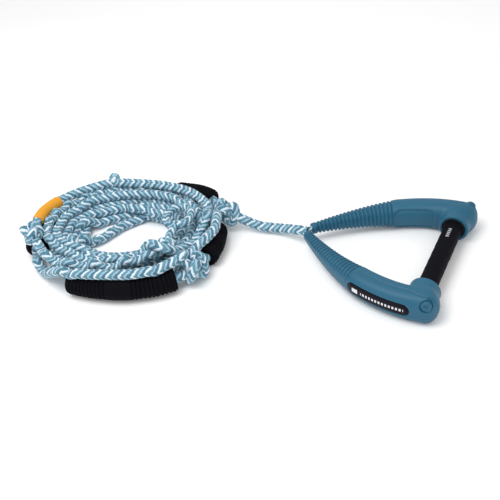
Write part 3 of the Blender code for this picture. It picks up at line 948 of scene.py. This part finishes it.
def badge_outline(length, rise):
    """Distance from the badge's outline, below zero inside it."""
    middle = (BADGE_RUN[0] + BADGE_RUN[1]) / 2
    half = (BADGE_RUN[1] - BADGE_RUN[0]) / 2 - BADGE_HEIGHT / 2
    return np.hypot(np.maximum(np.abs(length - middle) - half, 0), rise - BADGE_RAISE) - BADGE_HEIGHT / 2


def surface_net(field, low, step):
    """A quad mesh over the zero level of a field on a grid."""
    inside = field < 0
    size = np.array(field.shape) - 1
    corners = np.zeros(size, np.int8)
    for i, j, k in itertools.product((0, 1), repeat=3):
        corners += inside[i : size[0] + i, j : size[1] + j, k : size[2] + k]
    active = (corners > 0) & (corners < 8)
    cells = np.argwhere(active)
    index = np.full(size, -1)
    index[active] = np.arange(len(cells))
    total = np.zeros((len(cells), 3))
    hits = np.zeros(len(cells))
    for axis, i, j in itertools.product(range(3), (0, 1), (0, 1)):
        start = cells.copy()
        start[:, (axis + 1) % 3] += i
        start[:, (axis + 2) % 3] += j
        end = start.copy()
        end[:, axis] += 1
        a = field[tuple(start.T)]
        b = field[tuple(end.T)]
        crossed = (a < 0) != (b < 0)
        part = np.where(crossed, a / np.where(crossed, a - b, 1), 0)
        point = start.astype(float)
        point[:, axis] += part
        total[crossed] += point[crossed]
        hits += crossed
    points = np.array(low) + step * total / hits[:, None]
    quads = []
    for axis in range(3):
        one, two = (axis + 1) % 3, (axis + 2) % 3
        before = np.take(inside, range(size[axis]), axis)
        after = np.take(inside, range(1, size[axis] + 1), axis)
        edges = np.argwhere(before != after)
        past_low = (edges[:, one] > 0) & (edges[:, two] > 0)
        short_of_high = (edges[:, one] < size[one]) & (edges[:, two] < size[two])
        edges = edges[past_low & short_of_high]
        leaving = before[tuple(edges.T)]
        ring = []
        for i, j in ((-1, -1), (0, -1), (0, 0), (-1, 0)):
            cell = edges.copy()
            cell[:, one] += i
            cell[:, two] += j
            ring.append(index[tuple(cell.T)])
        quad = np.stack(ring, axis=1)
        quads.append(np.where(leaving[:, None], quad, quad[:, ::-1]))
    return points, np.vstack(quads)


def make_arms(look):
    step = ARM_GRID
    low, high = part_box("arm_right")
    low = np.array(low) - 0.0045
    high = np.array(high) + 0.0045
    x, y, z = (np.arange(a, b, step) for a, b in zip(low, high))
    points, quads = surface_net(arm_field(x, y, z), low, step)
    for word, side in SIDES:
        placed = points * np.array((1, side, 1))
        facing = quads[:, ::side]
        name = f"arm_{word}_moulding"
        mesh = face_mesh(name, placed, facing.ravel(), np.arange(len(facing)) * 4)
        made = add_piece(name, mesh, look, "handle")
        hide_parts(f"arm_{word}")


def turned(name, profile, look, body, centre=(BAR_X, MID_HEIGHT), sides=96):
    """A piece turned round an axis along Y, from (y, radius) pairs that run right round its section."""
    turn = round_angles(sides)
    rings = []
    for y, radius in profile:
        ring = np.column_stack(
            [centre[0] + radius * np.cos(turn), np.full(sides, y), centre[1] + radius * np.sin(turn)]
        )
        rings.append(ring)
    mesh = tube_mesh(name, np.array(rings), closed=True)
    if area_sum(mesh) < 0:
        mesh.flip_normals()
    return add_piece(name, mesh, look, body)


def area_sum(mesh):
    """Signed volume of a closed mesh, to tell which way its faces look."""
    mesh.calc_loop_triangles()
    points = np.empty(len(mesh.vertices) * 3, np.float32)
    mesh.vertices.foreach_get("co", points)
    triangles = np.empty(len(mesh.loop_triangles) * 3, np.int32)
    mesh.loop_triangles.foreach_get("vertices", triangles)
    corners = points.reshape(-1, 3)[triangles.reshape(-1, 3)]
    return float(np.einsum("ij,ij->i", corners[:, 0], np.cross(corners[:, 1], corners[:, 2])).sum())


def rounded_section(y_low, y_high, bore, radius, edge, steps=6):
    """A hollow section with rounded outer edges, as (y, radius) pairs."""
    turns = [math.pi / 2 * i / steps for i in range(steps + 1)]
    steep = [edge * (1 - math.sin(turn)) for turn in turns]
    flat = [edge * (1 - math.cos(turn)) for turn in turns]
    rising = [(y_low + a, radius - b) for a, b in zip(flat, steep)]
    falling = [(y_high - a, radius - b) for a, b in zip(steep, flat)]
    return [(y_low, bore), *rising, *falling, (y_high, bore)]


def make_grip(looks):
    flange_face = BOSS_FACE_Y + SOCKET_DEPTH - 0.0008
    flange_back = flange_face - FLANGE_THICKNESS
    grip_end = flange_back - 0.0004
    bore = BAR_RADIUS + 0.0004
    profile = rounded_section(-grip_end, grip_end, bore, GRIP_RADIUS, 0.0015)
    stations = np.linspace(-grip_end + 0.003, grip_end - 0.003, 120)
    body = [(y, GRIP_RADIUS - 0.00015 + 0.00012 * math.sin(y / 0.0031)) for y in stations]
    grip = turned("grip_foam", [*profile[:8], *body, *profile[8:]], looks["grip"], "grip")
    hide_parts("grip_sleeve")
    for word, side in SIDES:
        low, high = sorted((side * flange_back, side * flange_face))
        section = rounded_section(low, high, bore, FLANGE_RADIUS, 0.001)
        flange = turned(f"flange_{word}_ring", section, looks["flange"], "grip")
        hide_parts(f"grip_flange_{word}")


def badge_stand(part):
    """How far the badge stands out of the arm, at this share of the way from its middle to its edge."""
    return BADGE_PROUD * min(1.0, (1 - part) / 0.06) - 0.0003 * (part > 0.99)


def make_badges(look):
    """The long oval inlays, bowed with the arm's outer face."""
    shares = np.linspace(0, 1, 401)
    line = bezier(shares)
    slope = np.gradient(line, axis=0)
    run = run_along(line)
    middle = (BADGE_RUN[0] + BADGE_RUN[1]) / 2
    half = BADGE_HEIGHT / 2 - BADGE_GAP
    straight = (BADGE_RUN[1] - BADGE_RUN[0]) / 2 - BADGE_GAP - half
    turn = round_angles(BADGE_SIDES)
    way_x, way_z = np.cos(turn), np.sin(turn)
    oval_along = np.sign(way_x) * np.minimum(np.abs(way_x) * 8, 1) * straight + way_x * half
    oval_rise = way_z * half
    parts = np.concatenate([[1.0], np.linspace(0.97, 0.06, BADGE_RINGS)])
    back = [(part, -BADGE_DEPTH) for part in parts[::-1]]
    face = [(part, badge_stand(part)) for part in parts]
    for word, side in SIDES:
        skins, spots = [], []
        for part, out in [*back, *face]:
            along, rise = oval_along * part, oval_rise * part
            share = np.interp(middle + along, run, shares)
            place = bezier(share)
            way = np.column_stack([np.interp(share, shares, slope[:, i]) for i in range(2)])
            way /= np.linalg.norm(way, axis=1)[:, None]
            half_width, half_height = arm_half_sizes(share)
            height = BADGE_RAISE + rise
            high = np.abs(height / half_height) ** ARM_SQUARENESS
            skin = half_width * (1 - high) ** (1 / ARM_SQUARENESS)
            x = place[:, 0] - way[:, 1] * (skin + out)
            y = (place[:, 1] + way[:, 0] * (skin + out)) * side
            skins.append(np.column_stack([x, y, MID_HEIGHT + height]))
            spots.append(np.column_stack([along, rise, np.full(len(along), out)]))
        mesh = tube_mesh(f"badge_{word}_inlay", np.array(skins))
        middles = [spots[0].mean(axis=0), spots[-1].mean(axis=0)]
        layer = mesh.attributes.new("spot", "FLOAT_VECTOR", "POINT")
        layer.data.foreach_set("vector", np.vstack([*spots, *middles]).astype(np.float32).ravel())
        if area_sum(mesh) < 0:
            mesh.flip_normals()
        made = add_piece(f"badge_{word}_inlay", mesh, look, "handle")
        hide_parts(f"badge_{word}")


def make_plugs(look):
    for word, side in SIDES:
        low, high = HUB_PLUG_Y
        profile = [
            (low, 0.0002),
            (low, HUB_PLUG_RADIUS),
            (high - 0.0012, HUB_PLUG_RADIUS),
            (high - 0.0004, HUB_PLUG_RADIUS - 0.0003),
            (high, HUB_PLUG_RADIUS - 0.001),
            (high, HUB_PLUG_RADIUS - 0.0022),
            (high - 0.0006, HUB_PLUG_RADIUS - 0.003),
            (high - 0.0008, 0.0002),
        ]
        profile = [(side * y, radius) for y, radius in profile]
        centre = (HUB_PLUG_X, HUB_PLUG_Z)
        made = turned(f"hub_plug_{word}_disc", profile, look, "handle", centre, 64)
        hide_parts(f"hub_plug_{word}")


def make_splice(look):
    """The rope's eye: its two legs go into the arms' open tips."""
    points = [(EYE_X + shift, 0, MID_HEIGHT) for shift in (-0.014, -0.005, 0.003)]
    neck = braided_tube("splice_neck", smooth_route(points, 0.001), ROPE_RADIUS * 0.97, look, None)
    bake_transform(neck)
    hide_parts("bridle_eye")
    for word, side in SIDES:
        tip = Vector((ARM_TIP[0], side * ARM_TIP[1], MID_HEIGHT))
        into = Vector((ARM_TIP[0] + 0.014, side * (ARM_TIP[1] + 0.011), MID_HEIGHT))
        route = smooth_route([(EYE_X - 0.001, side * 0.002, MID_HEIGHT), tip, into], 0.0006)
        braided_tube(f"splice_leg_{word}", route, 0.0046, look, "handle")


def make_handle(looks):
    make_arms(looks["moulding"])
    make_badges(looks["badge"])
    make_plugs(looks["moulding"])
    make_grip(looks)
    make_splice(looks["rope"])
    for node, look in (
        ("bar_tube", "bar"),
        ("socket_bush_left", "bush"),
        ("socket_bush_right", "bush"),
        ("bridle_rope", "rope_core"),
    ):
        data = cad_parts[node]
        for slot in data.material_slots:
            slot.link = "OBJECT"
            slot.material = looks[look]


def moulding_material():
    look = new_material("teal moulding")
    n = Nodes(look)
    place = n.place()
    cloud = n.noise(14.0, 3.0, place)
    grain = n.noise(900.0, 2.0, place)
    colour = n.ramp(cloud, [(0.3, (0.011, 0.098, 0.172)), (0.7, (0.016, 0.118, 0.202))])
    colour = n.mix(0.12, colour, n.ramp(grain, [(0.35, (0.6, 0.6, 0.6)), (0.65, (1, 1, 1))]), "MULTIPLY")
    n.set("Base Color", colour)
    n.set("Roughness", n.ramp(cloud, [(0.3, (0.4,) * 3), (0.7, (0.5,) * 3)]))
    n.set("Specular IOR Level", 0.35)
    n.bump(grain, 0.12, 0.0002)
    return look


def foam_material(name, colour, roughness):
    look = new_material(name)
    n = Nodes(look)
    place = n.place()
    cell = n.noise(1100.0, 3.0, place)
    cloud = n.noise(60.0, 2.0, place)
    shade = n.ramp(cell, [(0.3, tuple(0.55 * c for c in colour)), (0.7, tuple(1.5 * c for c in colour))])
    patches = n.ramp(cloud, [(0.3, (0.5,) * 3), (0.7, (1, 1, 1))])
    n.set("Base Color", n.mix(0.3, shade, patches, "MULTIPLY"))
    n.set("Roughness", roughness)
    n.set("Specular IOR Level", 0.05)
    n.bump(cell, 0.35, 0.0002)
    return look


def badge_material():
    """Black, with one wide plain bar and a row of narrow ones."""
    look = plain_material("black badge", (0.005, 0.005, 0.01), 0.35)
    n = Nodes(look)
    split = n.add("ShaderNodeSeparateXYZ")
    spot = n.add("ShaderNodeAttribute", attribute_name="spot")
    n.join(spot.outputs["Vector"], split.inputs[0])
    along, rise = split.outputs[0], split.outputs[1]
    narrow = n.every(
        n.stripes(along, BADGE_MARK_PITCH, 0.55),
        n.within(along, 0.0085, 0.0315),
        n.within(rise, 0.0, 0.0022),
    )
    wide = n.every(n.within(along, -0.033, 0.0048), n.within(rise, 0.0, 0.0034))
    mark = n.math("MAXIMUM", narrow, wide)
    base = n.shader.inputs["Base Color"].links[0].from_socket
    n.set("Base Color", n.mix(mark, base, (0.72, 0.74, 0.78)))
    return look


def grip_material():
    """Black foam, with a few short pale bars near the far end."""
    look = foam_material("black grip foam", (0.005, 0.005, 0.008), 0.65)
    n = Nodes(look)
    split = n.add("ShaderNodeSeparateXYZ")
    n.join(n.place(), split.inputs[0])
    x, y, z = split.outputs
    bars = n.every(
        n.stripes(y, 0.0045, 0.5),
        n.within(y, 0.04725, 0.01125),
        n.within(x, BAR_X, 0.0024),
        n.math("GREATER_THAN", z, MID_HEIGHT),
    )
    base = n.shader.inputs["Base Color"].links[0].from_socket
    n.set("Base Color", n.mix(bars, base, (0.5, 0.5, 0.54)))
    return look


def plain_material(name, colour, roughness, metallic=0.0):
    look = new_material(name)
    n = Nodes(look)
    grain = n.noise(500.0, 2.0, n.place())
    shade = n.ramp(grain, [(0.3, tuple(0.85 * c for c in colour)), (0.7, colour)])
    n.set("Base Color", shade)
    n.set("Roughness", roughness)
    n.set("Metallic", metallic)
    n.set("Specular IOR Level", 0.5 if metallic else 0.1)
    n.bump(grain, 0.1, 0.0001)
    return look


def main():
    make_camera()
    make_studio()
    looks = {
        "rope": rope_material(),
        "foam": foam_material("black float foam", (0.004, 0.004, 0.006), 0.75),
        "grip": grip_material(),
        "sleeve": plain_material("orange cloth", (0.8, 0.36, 0.04), 0.75),
        "moulding": moulding_material(),
        "badge": badge_material(),
        "flange": plain_material("black flange", (0.012, 0.012, 0.014), 0.45),
        "bush": plain_material("white bush", (0.7, 0.7, 0.67), 0.45),
        "bar": plain_material("aluminium tube", (0.7, 0.71, 0.72), 0.3, 1.0),
        "rope_core": plain_material("bridle core", (0.42, 0.54, 0.6), 0.8),
    }
    make_rope(looks)
    make_handle(looks)


main()
